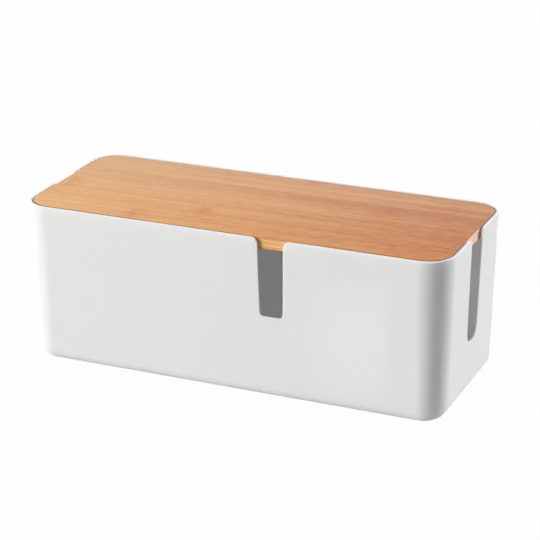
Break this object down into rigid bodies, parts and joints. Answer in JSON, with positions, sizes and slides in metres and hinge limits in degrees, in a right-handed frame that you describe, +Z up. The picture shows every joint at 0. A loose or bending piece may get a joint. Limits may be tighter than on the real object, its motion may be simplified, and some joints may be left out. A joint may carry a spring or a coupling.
{
  "type": "cable management box",
  "caption": "Rounded plastic box that hides a power strip and its cables, with open-topped cable slots in the front and both ends and a flush lift-off bamboo lid.",
  "frame": {"origin": "centre of the footprint, at the level that the feet stand on", "axes": "+X along the box's length; -Y is the front, the long side with the cable slot, which lies towards +X; +Z up"},
  "size_m": [0.32, 0.13, 0.1217],
  "materials": {
    "white_plastic": "white moulded polypropylene, fine satin",
    "bamboo": "laminated carbonised bamboo, sanded, thin matt lacquer",
    "foot_rubber": "soft dark rubber, matt"
  },
  "bodies": {
    "box": {"shell": "white_plastic", "foot_front_left": "foot_rubber", "foot_front_right": "foot_rubber", "foot_back_left": "foot_rubber", "foot_back_right": "foot_rubber"},
    "lid": {"lid_stave_1": "bamboo", "lid_stave_2": "bamboo", "lid_stave_3": "bamboo", "lid_stave_4": "bamboo", "lid_stave_5": "bamboo", "lid_stave_6": "bamboo"}
  },
  "joints": [
    {"name": "lid_lift", "type": "slide", "parent": "box", "child": "lid", "axis": [0, 0, 1], "range_m": [0, 0.1]}
  ]
}
